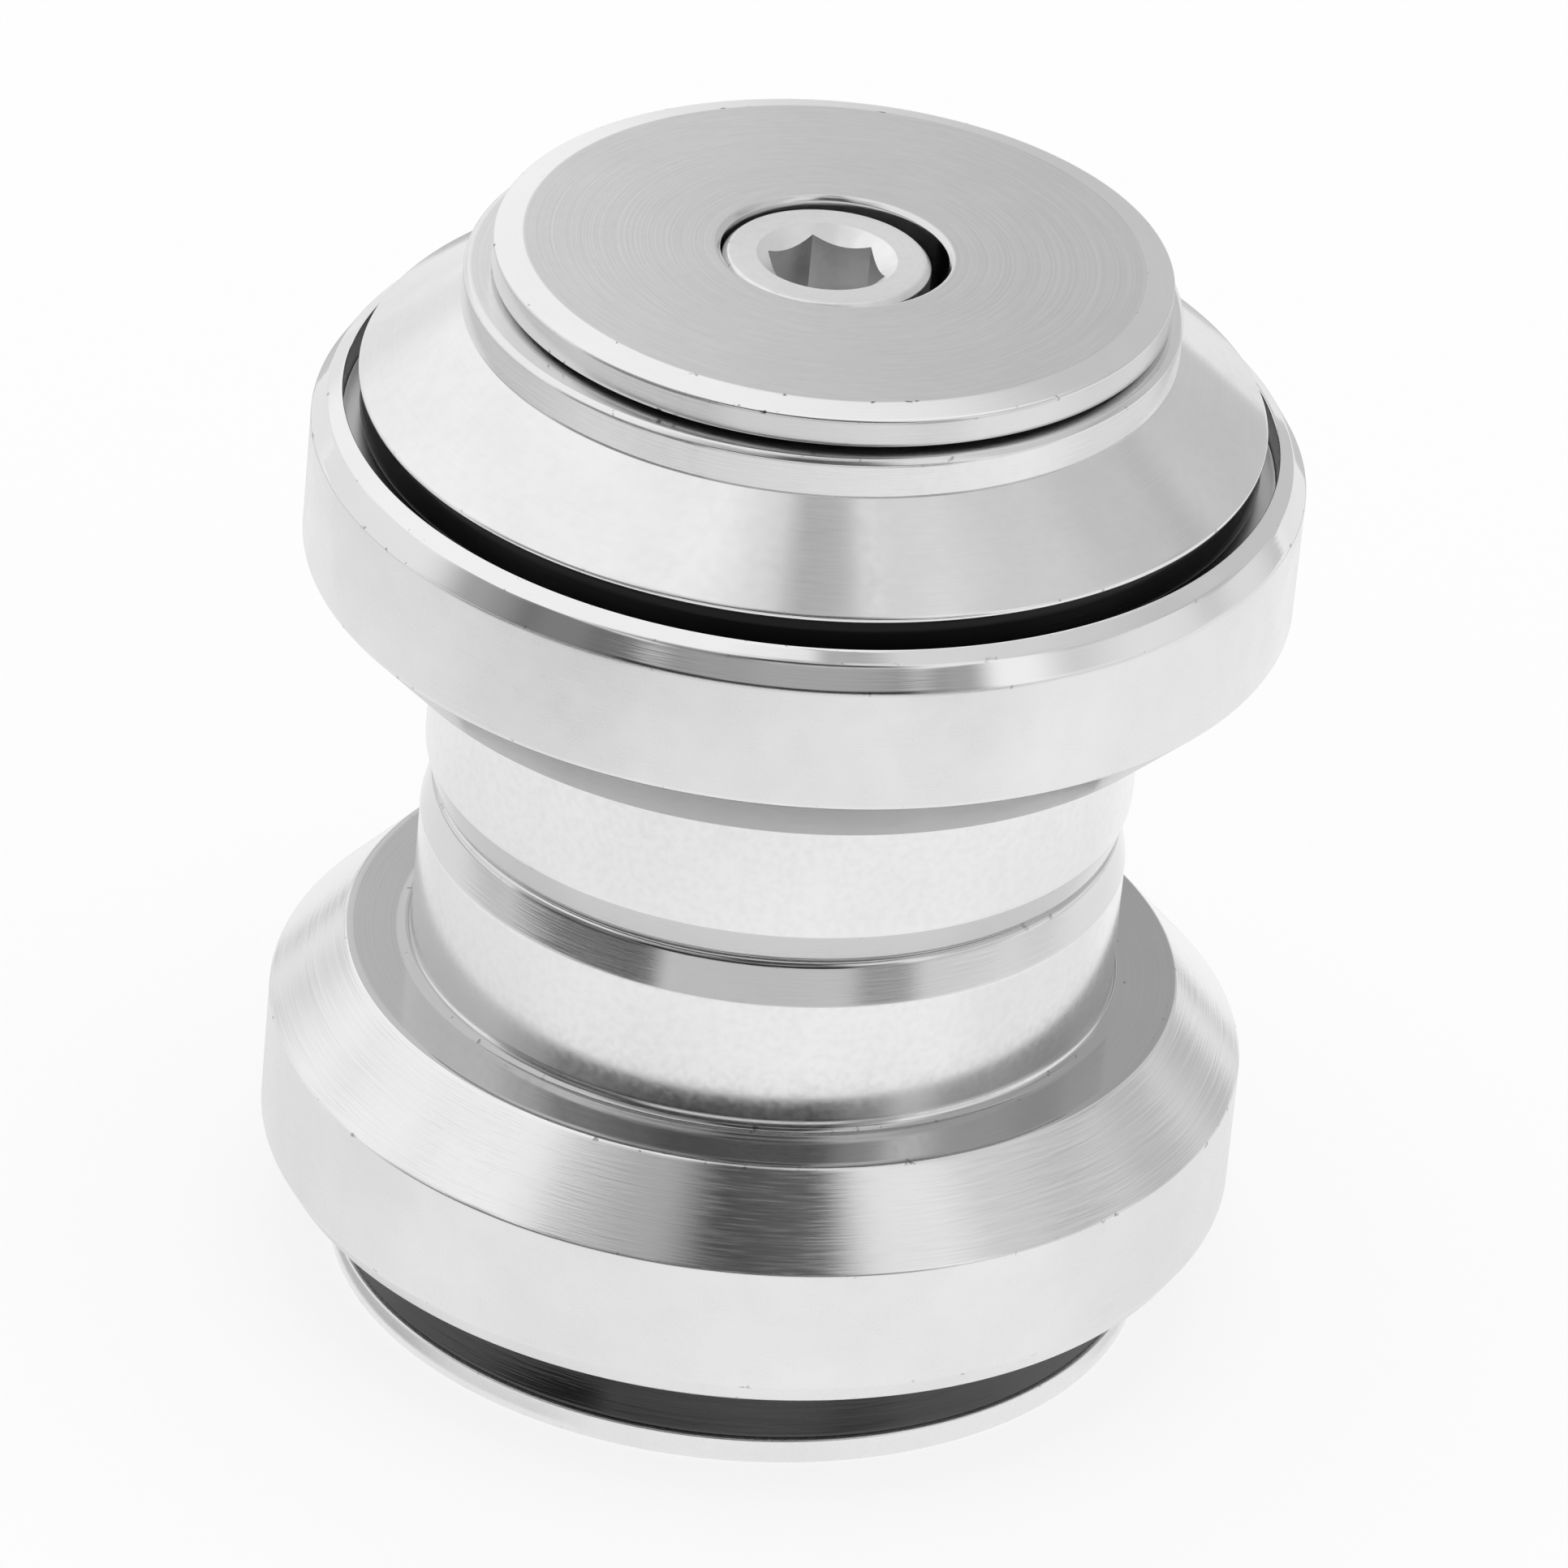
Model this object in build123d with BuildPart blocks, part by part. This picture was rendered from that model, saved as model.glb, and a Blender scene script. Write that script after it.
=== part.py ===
"""Threadless bicycle headset, put together and standing on its crown race.

Millimetres. The steering axis is Z, and the origin is the centre of the crown race's bottom face.
The two cups stand insert end to insert end, as they do when the headset is off the frame.
"""

import os
from math import cos, radians, sin, sqrt, tan

from build123d import *

os.makedirs("parts", exist_ok=True)

# Standard fits on the frame and the fork
steerer_diameter = 28.6
steerer_wall = 1.6
crown_seat_step = 0.7
insert_diameter = 34.1

# Cups, with heights from the shoulder; the lower one is a little taller and is turned over
cup_wall = 3.15
upper_cup_height = 11.25
lower_cup_height = 11.8
shoulder_diameter = 40.2
upper_flare_angle = 45.0
lower_flare_angle = 42.3
bevel_width = 0.7
bevel_height = 1.12
facet_width = 0.73
facet_height = 0.5
insert_length = 9.05
insert_wall = 1.65
insert_lead_width = 0.47
upper_lead_height = 1.7
lower_lead_height = 2.2
pocket_floor_gap = 0.4

# Cartridge bearing, with the angle of its inner seat measured from the axis
bearing_section = 5.4
bearing_height = 6.5
bearing_recess = 1.55
outer_seat_width = 1.1
inner_seat_width = 1.2
inner_seat_angle = 36.0
ball_diameter = 3.175
ball_count = 14
contact_angle = 40.0
bearing_seal_thickness = 0.6
bearing_seal_sink = 0.1

# Crown race and its seal
crown_flange_width = 4.9
crown_edge_height = 1.29
crown_hub_wall = 2.0
crown_tip_wall = 0.6
crown_to_rim_gap = 3.81
crown_seal_setback = 0.2
crown_seal_reach = 0.54
crown_seal_lean = 15.0

# Compression ring
ring_width = 2.85
ring_land = 0.5
ring_slit = 1.2
cover_cone_angle = 45.0

# Bearing cover and its seal
cover_rim_gap = 0.66
cover_edge_rise = 1.17
cover_lip_width = 1.16
cover_lip_height = 0.2
cover_boss_height = 1.0
collar_wall = 2.6
collar_rise = 3.76
collar_height = 1.97
collar_chamfer = 0.22
cover_seal_setback = 0.16
cover_seal_reach = 0.88

# Top cap, which rests a little off the axis within the play of its spigot
cap_ledge = 0.93
cap_bevel_width = 1.35
cap_height = 1.94
cap_bevel_height = 0.33
cap_relief_height = 0.29
cap_relief_width = 0.8
cap_spigot_depth = 1.5
cap_boss_wall = 2.1
cap_floor = 1.8
cap_rest_offset = 0.35

# Top cap bolt, M6, with a five millimetre hexagon
bolt_diameter = 6.0
bolt_length = 30.0
bolt_tip_chamfer = 0.6
bolt_head_diameter = 9.9
bolt_head_height = 6.0
bolt_head_chamfer = 0.25
bolt_head_sink = 0.35
hexagon_width = 5.0
hexagon_depth = 3.0
hexagon_turn = -14.5
hexagon_lead_width = 0.45
hexagon_lead_angle = 50.0
counterbore_chamfer = 0.2

# Star nut
star_barrel_wall = 1.45
star_barrel_length = 13.0
star_barrel_rise = 1.3
star_bite = 0.5
star_thickness = 0.8
star_leaf_count = 8
star_leaf_lift = 18.0
star_leaf_root_width = 3.6
star_leaf_tip_width = 5.4
star_hub_width = 2.0
star_end_margin = 1.5

# Clearances
seat_clearance = 0.04
steerer_clearance = 0.05
cover_bore_clearance = 0.1
bearing_bore_clearance = 0.1
spigot_play = 0.5
ball_clearance = 0.06
turning_clearance = 0.3
thread_clearance = 0.05
bolt_hole_clearance = 0.05
counterbore_clearance = 0.1

# Radii that several pieces share, outwards from the steerer
steerer_radius = steerer_diameter / 2
steerer_bore_radius = steerer_radius + steerer_clearance
cover_bore_radius = steerer_radius + cover_bore_clearance
crown_bore_radius = steerer_radius + crown_seat_step
bearing_inner_radius = crown_bore_radius + bearing_bore_clearance
bearing_outer_radius = bearing_inner_radius + bearing_section
pocket_radius = bearing_outer_radius + seat_clearance
cup_radius = bearing_outer_radius + cup_wall
rim_radius = cup_radius - bevel_width - facet_width
insert_radius = insert_diameter / 2
cup_bore_radius = insert_radius - insert_wall
bolt_radius = bolt_diameter / 2

# Heights up the stack, from the foot of the crown race
lower_rim_z = crown_edge_height + crown_to_rim_gap
lower_shoulder_z = lower_rim_z + lower_cup_height
upper_shoulder_z = lower_shoulder_z + 2 * insert_length
upper_rim_z = upper_shoulder_z + upper_cup_height
cover_edge_z = upper_rim_z + cover_edge_rise
collar_foot_z = cover_edge_z + collar_rise
collar_top_z = collar_foot_z + collar_height
cap_top_z = collar_top_z + cap_height
bolt_head_top_z = cap_top_z - bolt_head_sink
bolt_seat_z = bolt_head_top_z - bolt_head_height
bolt_tip_z = bolt_seat_z - bolt_length

# The bearing in its cup: its far face looks into the insert, its near face out of the rim
inner_seat_slope = 1 / tan(radians(inner_seat_angle))
inner_seat_shift = seat_clearance / sin(radians(inner_seat_angle))


def half_section(height, up, shift=0.0):
    """A plane through the axis: x is the radius, y runs up from the height, or down if up is -1."""
    return Plane(origin=(shift, 0, height), x_dir=(1, 0, 0), z_dir=(0, -up, 0))


def far_height(cup_height):
    """How far the bearing's far face lies from the shoulder of a cup."""
    return cup_height - bearing_recess - bearing_height


def inner_seat_height(radius):
    """How far past the bearing's near face its inner seat would be met at a radius, from outside."""
    return (radius - bearing_inner_radius - inner_seat_width) * inner_seat_slope + inner_seat_shift


def make_cup(name, shoulder_z, up, cup_height, flare_angle, lead_height):
    """A cup turned from bar: insert, flat shoulder, flare, bevelled rim and the bearing's pocket."""
    shoulder_radius = shoulder_diameter / 2
    flare_height = (cup_radius - shoulder_radius) / tan(radians(flare_angle))
    facet_foot = cup_height - facet_height
    near_height = cup_height - bearing_recess
    floor_height = far_height(cup_height) - pocket_floor_gap
    seat_top = far_height(cup_height) + outer_seat_width
    with BuildPart() as cup:
        with BuildSketch(half_section(shoulder_z, up)):
            with BuildLine():
                Polyline(
                    (cup_bore_radius, -insert_length),
                    (insert_radius - insert_lead_width, -insert_length),
                    (insert_radius, lead_height - insert_length),
                    (insert_radius, 0),
                    (shoulder_radius, 0),
                    (cup_radius, flare_height),
                    (cup_radius, facet_foot - bevel_height),
                    (cup_radius - bevel_width, facet_foot),
                    (rim_radius, cup_height),
                    (rim_radius, near_height),
                    (pocket_radius, near_height),
                    (pocket_radius, seat_top),
                    (pocket_radius - (seat_top - floor_height), floor_height),
                    (cup_bore_radius, floor_height),
                    close=True,
                )
            make_face()
        revolve(axis=Axis.Z)
    cup.part.label = name
    export_step(cup.part, f"parts/{name}.step")


def make_bearing(name, shoulder_z, up, cup_height):
    """An angular contact bearing: two races, a ring of balls and the seal on its near side."""
    far_face = half_section(shoulder_z + up * far_height(cup_height), up)
    ball_reach = ball_diameter / 2 + ball_clearance
    pitch_radius = (bearing_outer_radius + bearing_inner_radius) / 2
    ball_height = bearing_height / 2
    corner_height = ball_height - ball_reach * tan(radians(contact_angle / 2))
    race_overhang = corner_height * tan(radians(contact_angle))
    outer_wall = pitch_radius + ball_reach
    inner_wall = pitch_radius - ball_reach

    with BuildPart() as outer_race:
        with BuildSketch(far_face):
            with BuildLine():
                Polyline(
                    (bearing_outer_radius - outer_seat_width, 0),
                    (bearing_outer_radius, outer_seat_width),
                    (bearing_outer_radius, bearing_height),
                    (outer_wall, bearing_height),
                    (outer_wall, corner_height),
                    (outer_wall - race_overhang, 0),
                    close=True,
                )
            make_face()
        revolve(axis=Axis.Z)
    outer_race.part.label = f"{name}_outer_race"
    export_step(outer_race.part, f"parts/{name}_outer_race.step")

    with BuildPart() as inner_race:
        with BuildSketch(far_face):
            with BuildLine():
                Polyline(
                    (bearing_inner_radius, 0),
                    (inner_wall, 0),
                    (inner_wall, bearing_height - corner_height),
                    (inner_wall + race_overhang, bearing_height),
                    (bearing_inner_radius + inner_seat_width, bearing_height),
                    (bearing_inner_radius, bearing_height - inner_seat_width * inner_seat_slope),
                    close=True,
                )
            make_face()
        revolve(axis=Axis.Z)
    inner_race.part.label = f"{name}_inner_race"
    export_step(inner_race.part, f"parts/{name}_inner_race.step")

    # Each ball is a bead with twenty-six flats and its corners on the true sphere
    bead_edge = ball_diameter / sqrt(5 + 2 * sqrt(2))
    bead_width = bead_edge * (1 + sqrt(2))
    with BuildPart() as bead:
        Box(bead_width, bead_width, bead_width)
        chamfer(bead.edges(), length=(bead_width - bead_edge) / 2)
    ball_plane = Plane.XY.offset(shoulder_z + up * (far_height(cup_height) + ball_height))
    with BuildPart(ball_plane) as balls:
        with PolarLocations(pitch_radius, ball_count):
            add(bead.part)
    balls.part.label = f"{name}_balls"
    export_step(balls.part, f"parts/{name}_balls.step")

    seal_top = bearing_height - bearing_seal_sink
    seal_lip = inner_wall + race_overhang + turning_clearance
    with BuildPart() as seal:
        with BuildSketch(far_face):
            with BuildLine():
                Polyline(
                    (seal_lip, seal_top),
                    (outer_wall, seal_top),
                    (outer_wall, seal_top - bearing_seal_thickness),
                    close=True,
                )
            make_face()
        revolve(axis=Axis.Z)
    seal.part.label = f"{name}_seal"
    export_step(seal.part, f"parts/{name}_seal.step")


# Cups and bearings, the lower set being turned over
make_cup("upper_cup", upper_shoulder_z, 1, upper_cup_height, upper_flare_angle, upper_lead_height)
make_cup("lower_cup", lower_shoulder_z, -1, lower_cup_height, lower_flare_angle, lower_lead_height)
make_bearing("upper_bearing", upper_shoulder_z, 1, upper_cup_height)
make_bearing("lower_bearing", lower_shoulder_z, -1, lower_cup_height)

# Crown race: pressed on the fork, its cone carries the lower bearing's inner race
crown_radius = crown_bore_radius + crown_flange_width
crown_hub_radius = crown_bore_radius + crown_hub_wall
crown_tip_radius = crown_bore_radius + crown_tip_wall
lower_near_z = lower_rim_z + bearing_recess
with BuildPart() as crown_race:
    with BuildSketch(half_section(0, 1)):
        with BuildLine():
            Polyline(
                (crown_bore_radius, 0),
                (crown_radius, 0),
                (crown_radius, crown_edge_height),
                (crown_hub_radius, crown_edge_height),
                (crown_hub_radius, lower_near_z - inner_seat_height(crown_hub_radius)),
                (crown_tip_radius, lower_near_z - inner_seat_height(crown_tip_radius)),
                (crown_bore_radius, lower_near_z - inner_seat_height(crown_tip_radius)),
                close=True,
            )
        make_face()
    revolve(axis=Axis.Z)
crown_race.part.label = "crown_race"
export_step(crown_race.part, "parts/crown_race.step")

# Crown race seal: a rubber ring round the hub, standing on the race's flange and leaning inwards
crown_seal_radius = crown_radius - crown_seal_setback
crown_seal_height = crown_to_rim_gap + crown_seal_reach
crown_seal_top_radius = crown_seal_radius - crown_seal_height * tan(radians(crown_seal_lean))
with BuildPart() as crown_race_seal:
    with BuildSketch(half_section(crown_edge_height, 1)):
        with BuildLine():
            Polyline(
                (crown_hub_radius, 0),
                (crown_seal_radius, 0),
                (crown_seal_top_radius, crown_seal_height),
                (crown_hub_radius, crown_seal_height),
                close=True,
            )
        make_face()
    revolve(axis=Axis.Z)
crown_race_seal.part.label = "crown_race_seal"
export_step(crown_race_seal.part, "parts/crown_race_seal.step")

# Compression ring: a split double cone between the upper bearing and the cover
ring_radius = steerer_bore_radius + ring_width
ring_land_radius = steerer_bore_radius + ring_land
upper_near_z = upper_rim_z - bearing_recess
ring_corner_z = upper_near_z + inner_seat_height(ring_radius)
ring_foot_z = upper_near_z + inner_seat_height(ring_land_radius)
cover_cone_slope = 1 / tan(radians(cover_cone_angle))
ring_top_z = ring_corner_z + (ring_radius - ring_land_radius) * cover_cone_slope
with BuildPart() as compression_ring:
    with BuildSketch(half_section(0, 1)):
        with BuildLine():
            Polyline(
                (steerer_bore_radius, ring_foot_z),
                (ring_land_radius, ring_foot_z),
                (ring_radius, ring_corner_z),
                (ring_land_radius, ring_top_z),
                (steerer_bore_radius, ring_top_z),
                close=True,
            )
        make_face()
    revolve(axis=Axis.Z)
    with BuildSketch(Plane.XY.offset(ring_foot_z)):
        with Locations((0, ring_radius)):
            Rectangle(ring_slit, ring_radius)
    extrude(amount=ring_top_z - ring_foot_z, mode=Mode.SUBTRACT)
compression_ring.part.label = "compression_ring"
export_step(compression_ring.part, "parts/compression_ring.step")

# Bearing cover: a cone with a collar, hollowed to sit on the compression ring
cover_radius = rim_radius - cover_rim_gap
collar_radius = cover_bore_radius + collar_wall
boss_radius = cover_radius - cover_lip_width
boss_top_z = cover_edge_z - cover_lip_height
boss_foot_z = boss_top_z - cover_boss_height
cover_cone_gap = seat_clearance / sin(radians(cover_cone_angle))
cone_mouth_radius = ring_radius - (boss_foot_z - cover_cone_gap - ring_corner_z) / cover_cone_slope
cone_top_z = ring_corner_z + cover_cone_gap + (ring_radius - cover_bore_radius) * cover_cone_slope
with BuildPart() as bearing_cover:
    with BuildSketch(half_section(0, 1)):
        with BuildLine():
            Polyline(
                (cover_bore_radius, collar_top_z),
                (collar_radius - collar_chamfer, collar_top_z),
                (collar_radius, collar_top_z - collar_chamfer),
                (collar_radius, collar_foot_z),
                (cover_radius, cover_edge_z),
                (cover_radius, boss_top_z),
                (boss_radius, boss_top_z),
                (boss_radius, boss_foot_z),
                (cone_mouth_radius, boss_foot_z),
                (cover_bore_radius, cone_top_z),
                close=True,
            )
        make_face()
    revolve(axis=Axis.Z)
bearing_cover.part.label = "bearing_cover"
export_step(bearing_cover.part, "parts/bearing_cover.step")

# Bearing cover seal: a rubber ring on the cover's boss, reaching down into the cup's mouth
with BuildPart() as bearing_cover_seal:
    with BuildSketch(Plane.XY.offset(boss_top_z)):
        Circle(cover_radius - cover_seal_setback)
        Circle(boss_radius, mode=Mode.SUBTRACT)
    extrude(amount=upper_rim_z - cover_seal_reach - boss_top_z)
bearing_cover_seal.part.label = "bearing_cover_seal"
export_step(bearing_cover_seal.part, "parts/bearing_cover_seal.step")

# Top cap: a disc with a spigot in the cover's bore and a boss under the bolt's head
cap_radius = collar_radius - cap_ledge
cap_spigot_radius = cover_bore_radius - spigot_play
bolt_head_radius = bolt_head_diameter / 2
bolt_hole_radius = bolt_radius + cap_rest_offset + bolt_hole_clearance
counterbore_radius = bolt_head_radius + cap_rest_offset + counterbore_clearance
cap_boss_radius = counterbore_radius + cap_boss_wall
cap_axis = Axis((cap_rest_offset, 0, 0), (0, 0, 1))
with BuildPart() as top_cap:
    with BuildSketch(half_section(0, 1, cap_rest_offset)):
        with BuildLine():
            Polyline(
                (bolt_hole_radius, bolt_seat_z),
                (counterbore_radius, bolt_seat_z),
                (counterbore_radius, cap_top_z - counterbore_chamfer),
                (counterbore_radius + counterbore_chamfer, cap_top_z),
                (cap_radius - cap_bevel_width, cap_top_z),
                (cap_radius, cap_top_z - cap_bevel_height),
                (cap_radius, collar_top_z + cap_relief_height),
                (cap_radius - cap_relief_width, collar_top_z),
                (cap_spigot_radius, collar_top_z),
                (cap_spigot_radius, collar_top_z - cap_spigot_depth),
                (cap_boss_radius, collar_top_z - cap_spigot_depth),
                (cap_boss_radius, bolt_seat_z - cap_floor),
                (bolt_hole_radius, bolt_seat_z - cap_floor),
                close=True,
            )
        make_face()
    revolve(axis=cap_axis)
top_cap.part.label = "top_cap"
export_step(top_cap.part, "parts/top_cap.step")

# Top cap bolt: a socket head screw that seats on the cap's counterbore
hexagon_lead_radius = hexagon_width / sqrt(3) + hexagon_lead_width
with BuildPart() as top_cap_bolt:
    with BuildSketch(Plane.XY.offset(bolt_seat_z)):
        Circle(bolt_head_radius)
    extrude(amount=bolt_head_height)
    chamfer(top_cap_bolt.edges().group_by(Axis.Z)[-1], length=bolt_head_chamfer)
    with BuildSketch(Plane.XY.offset(bolt_seat_z)):
        Circle(bolt_radius)
    extrude(amount=-bolt_length)
    chamfer(top_cap_bolt.edges().group_by(Axis.Z)[0], length=bolt_tip_chamfer)
    with BuildSketch(Plane.XY.offset(bolt_head_top_z)):
        RegularPolygon(hexagon_width / 2, 6, major_radius=False, rotation=hexagon_turn)
    extrude(amount=-hexagon_depth, mode=Mode.SUBTRACT)
    with BuildSketch(Plane.XY.offset(bolt_head_top_z)):
        Circle(hexagon_lead_radius)
    lead_depth = (hexagon_lead_radius - hexagon_width / 2) / tan(radians(hexagon_lead_angle))
    extrude(amount=-lead_depth, taper=hexagon_lead_angle, mode=Mode.SUBTRACT)
top_cap_bolt.part.label = "top_cap_bolt"
export_step(top_cap_bolt.part, "parts/top_cap_bolt.step")

# Star nut barrel: the threaded sleeve on the lower end of the bolt
barrel_bore_radius = bolt_radius + thread_clearance
barrel_radius = barrel_bore_radius + star_barrel_wall
barrel_foot_z = bolt_tip_z + star_barrel_rise
with BuildPart() as star_nut_barrel:
    with BuildSketch(Plane.XY.offset(barrel_foot_z)):
        Circle(barrel_radius)
        Circle(barrel_bore_radius, mode=Mode.SUBTRACT)
    extrude(amount=star_barrel_length)
star_nut_barrel.part.label = "star_nut_barrel"
export_step(star_nut_barrel.part, "parts/star_nut_barrel.step")


def make_star(name, height):
    """A spring steel star on the barrel, with its leaves bent up to grip the steerer's wall."""
    hub_radius = barrel_radius + star_hub_width
    hub_apothem = hub_radius * cos(radians(180 / star_leaf_count))
    leaf_lift = radians(star_leaf_lift)
    leaf_reach = steerer_radius - steerer_wall + star_bite
    leaf_length = (leaf_reach - hub_apothem) / cos(leaf_lift)
    with BuildPart() as star:
        with BuildSketch(Plane.XY.offset(height)):
            RegularPolygon(hub_radius, star_leaf_count, rotation=180 / star_leaf_count)
            Circle(barrel_radius, mode=Mode.SUBTRACT)
        extrude(amount=star_thickness)
        for leaf in range(star_leaf_count):
            turn = radians(360 / star_leaf_count * leaf)
            root = (hub_apothem * cos(turn), hub_apothem * sin(turn), height)
            outward = (cos(turn) * cos(leaf_lift), sin(turn) * cos(leaf_lift), sin(leaf_lift))
            normal = (-cos(turn) * sin(leaf_lift), -sin(turn) * sin(leaf_lift), cos(leaf_lift))
            with BuildSketch(Plane(origin=root, x_dir=outward, z_dir=normal)):
                with BuildLine():
                    Polyline(
                        (0, -star_leaf_root_width / 2),
                        (leaf_length, -star_leaf_tip_width / 2),
                        (leaf_length, star_leaf_tip_width / 2),
                        (0, star_leaf_root_width / 2),
                        close=True,
                    )
                make_face()
            extrude(amount=star_thickness)
    star.part.label = name
    export_step(star.part, f"parts/{name}.step")


make_star("star_nut_lower_star", barrel_foot_z + star_end_margin)
make_star("star_nut_upper_star", barrel_foot_z + star_barrel_length - star_end_margin - star_thickness)
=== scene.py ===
"""Looks of a threadless bicycle headset, from the crown race at its foot to the bolt in its top cap."""

from math import atan2, cos, hypot, pi, radians, sin, sqrt, tan

import bmesh
import bpy
from mathutils import Matrix, Vector


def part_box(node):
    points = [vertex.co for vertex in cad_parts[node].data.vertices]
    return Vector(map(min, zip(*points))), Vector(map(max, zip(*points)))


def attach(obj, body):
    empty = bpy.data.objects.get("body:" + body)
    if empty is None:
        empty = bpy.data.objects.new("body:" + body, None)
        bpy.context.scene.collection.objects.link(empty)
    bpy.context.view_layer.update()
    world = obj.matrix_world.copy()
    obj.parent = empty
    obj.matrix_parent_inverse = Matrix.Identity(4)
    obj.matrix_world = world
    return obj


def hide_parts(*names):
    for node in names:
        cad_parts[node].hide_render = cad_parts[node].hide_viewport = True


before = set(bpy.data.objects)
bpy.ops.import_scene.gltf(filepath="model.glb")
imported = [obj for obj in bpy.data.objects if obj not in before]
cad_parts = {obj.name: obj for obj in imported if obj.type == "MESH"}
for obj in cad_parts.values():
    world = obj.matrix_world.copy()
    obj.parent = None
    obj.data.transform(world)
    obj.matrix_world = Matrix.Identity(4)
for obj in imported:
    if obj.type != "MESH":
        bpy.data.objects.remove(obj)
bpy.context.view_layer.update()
millimetre = 0.001

# Crown race
# A ring turned from aluminium bar and pressed on the fork's crown. Its cone carries the lower
# bearing, and its thin flange is the foot that the headset stands on.
turning_steps = 240
corner_segments = 3
worn_width = 0.12
sharp_angle = radians(40)


def with_margins(outline):
    """The outline with a plain point beside each rounded corner, so that wear stays on the edges."""
    points = []
    for before, corner, after in zip(outline[-1:] + outline[:-1], outline, outline[1:] + outline[:1]):
        here = Vector(corner[:2])
        beside = []
        for neighbour in (before, after):
            run = Vector(neighbour[:2]) - here
            margin = corner[2] + worn_width
            if corner[2] and run.length > margin + neighbour[2] + 2 * worn_width:
                beside.append([(*(here + run.normalized() * margin), 0.0)])
            else:
                beside.append([])
        points += beside[0] + [corner] + beside[1]
    return points


def section_of(work, outline, axis_x):
    """The closed outline as edges in the plane through the axis, its corners rounded."""
    edge_layer = work.verts.layers.float.new("edge")
    points = with_margins(outline)
    corners = [
        work.verts.new((radius * millimetre, 0, height * millimetre))
        for radius, height, rounding in points
    ]
    work.faces.new(corners)
    for corner, (radius, height, rounding) in zip(corners, points):
        if rounding:
            rounded = bmesh.ops.bevel(
                work,
                geom=[corner],
                offset=rounding * millimetre,
                offset_type="OFFSET",
                affect="VERTICES",
                segments=corner_segments,
                profile=0.5,
                material=-1,
            )
            for vert in rounded["verts"]:
                vert[edge_layer] = 1.0
    bmesh.ops.delete(work, geom=work.faces[:], context="FACES_ONLY")
    bmesh.ops.translate(work, verts=work.verts[:], vec=(axis_x * millimetre, 0, 0))


def turned(name, outline, axis_x=0.0):
    """A ring turned from a closed outline of (radius, height, corner rounding), in millimetres."""
    work = bmesh.new()
    section_of(work, outline, axis_x)
    bmesh.ops.spin(
        work,
        geom=work.verts[:] + work.edges[:],
        cent=(axis_x * millimetre, 0, 0),
        axis=(0, 0, 1),
        angle=2 * pi,
        steps=turning_steps,
        use_merge=True,
        use_duplicate=False,
    )
    bmesh.ops.recalc_face_normals(work, faces=work.faces[:])
    return settle(name, work)


def settle(name, work):
    """The finished piece: smooth faces whose normals follow the larger faces, so that flats stay flat."""
    for face in work.faces:
        face.smooth = True
    for edge in work.edges:
        edge.smooth = edge.calc_face_angle(0.0) < sharp_angle
    mesh = bpy.data.meshes.new(name)
    work.to_mesh(mesh)
    work.free()
    draft = bpy.data.objects.new(name + "_draft", mesh)
    bpy.context.scene.collection.objects.link(draft)
    weighting = draft.modifiers.new("flats", "WEIGHTED_NORMAL")
    weighting.weight = 100
    weighting.keep_sharp = True
    bpy.context.view_layer.update()
    finished = bpy.data.meshes.new_from_object(draft.evaluated_get(bpy.context.evaluated_depsgraph_get()))
    bpy.data.objects.remove(draft)
    bpy.data.meshes.remove(mesh)
    finished.name = name
    piece = bpy.data.objects.new(name, finished)
    bpy.context.scene.collection.objects.link(piece)
    return piece


def mount(piece, body, node):
    """The piece stands for its solid and moves with that solid's body."""
    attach(piece, body)
    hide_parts(node)


def link(material, source, target):
    material.node_tree.links.new(source, target)


def lathe_coordinates(material, axis_x=0.0):
    """Sockets for a point's rings about the axis, and for its place, in millimetres."""
    nodes = material.node_tree.nodes
    place = nodes.new("ShaderNodeTexCoord")
    centred = nodes.new("ShaderNodeMapping")
    centred.inputs["Location"].default_value = (-axis_x, 0, 0)
    centred.inputs["Scale"].default_value = (1 / millimetre,) * 3
    link(material, place.outputs["Object"], centred.inputs["Vector"])
    flat = nodes.new("ShaderNodeVectorMath")
    flat.operation = "MULTIPLY"
    flat.inputs[1].default_value = (1, 1, 0)
    link(material, centred.outputs["Vector"], flat.inputs[0])
    radius = nodes.new("ShaderNodeVectorMath")
    radius.operation = "LENGTH"
    link(material, flat.outputs["Vector"], radius.inputs[0])
    split = nodes.new("ShaderNodeSeparateXYZ")
    link(material, centred.outputs["Vector"], split.inputs["Vector"])
    rings = nodes.new("ShaderNodeCombineXYZ")
    link(material, radius.outputs["Value"], rings.inputs["X"])
    link(material, split.outputs["Z"], rings.inputs["Y"])
    link(material, combine(material, "MULTIPLY", split.outputs["X"], 0.05), rings.inputs["Z"])
    return rings.outputs["Vector"], centred.outputs["Vector"]


def noise(material, vector, scale, detail=2.0):
    node = material.node_tree.nodes.new("ShaderNodeTexNoise")
    node.inputs["Scale"].default_value = scale
    node.inputs["Detail"].default_value = detail
    link(material, vector, node.inputs["Vector"])
    return node.outputs["Fac"]


def ramp(material, value, low, high, dark, light):
    """A value spread from low..high to dark..light, and held at its ends."""
    node = material.node_tree.nodes.new("ShaderNodeMapRange")
    node.inputs["From Min"].default_value = low
    node.inputs["From Max"].default_value = high
    node.inputs["To Min"].default_value = dark
    node.inputs["To Max"].default_value = light
    link(material, value, node.inputs["Value"])
    return node.outputs["Result"]


def combine(material, operation, first, second):
    node = material.node_tree.nodes.new("ShaderNodeMath")
    node.operation = operation
    for socket, value in zip(node.inputs, (first, second)):
        if isinstance(value, (int, float)):
            socket.default_value = value
        else:
            link(material, value, socket)
    return node.outputs["Value"]


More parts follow.
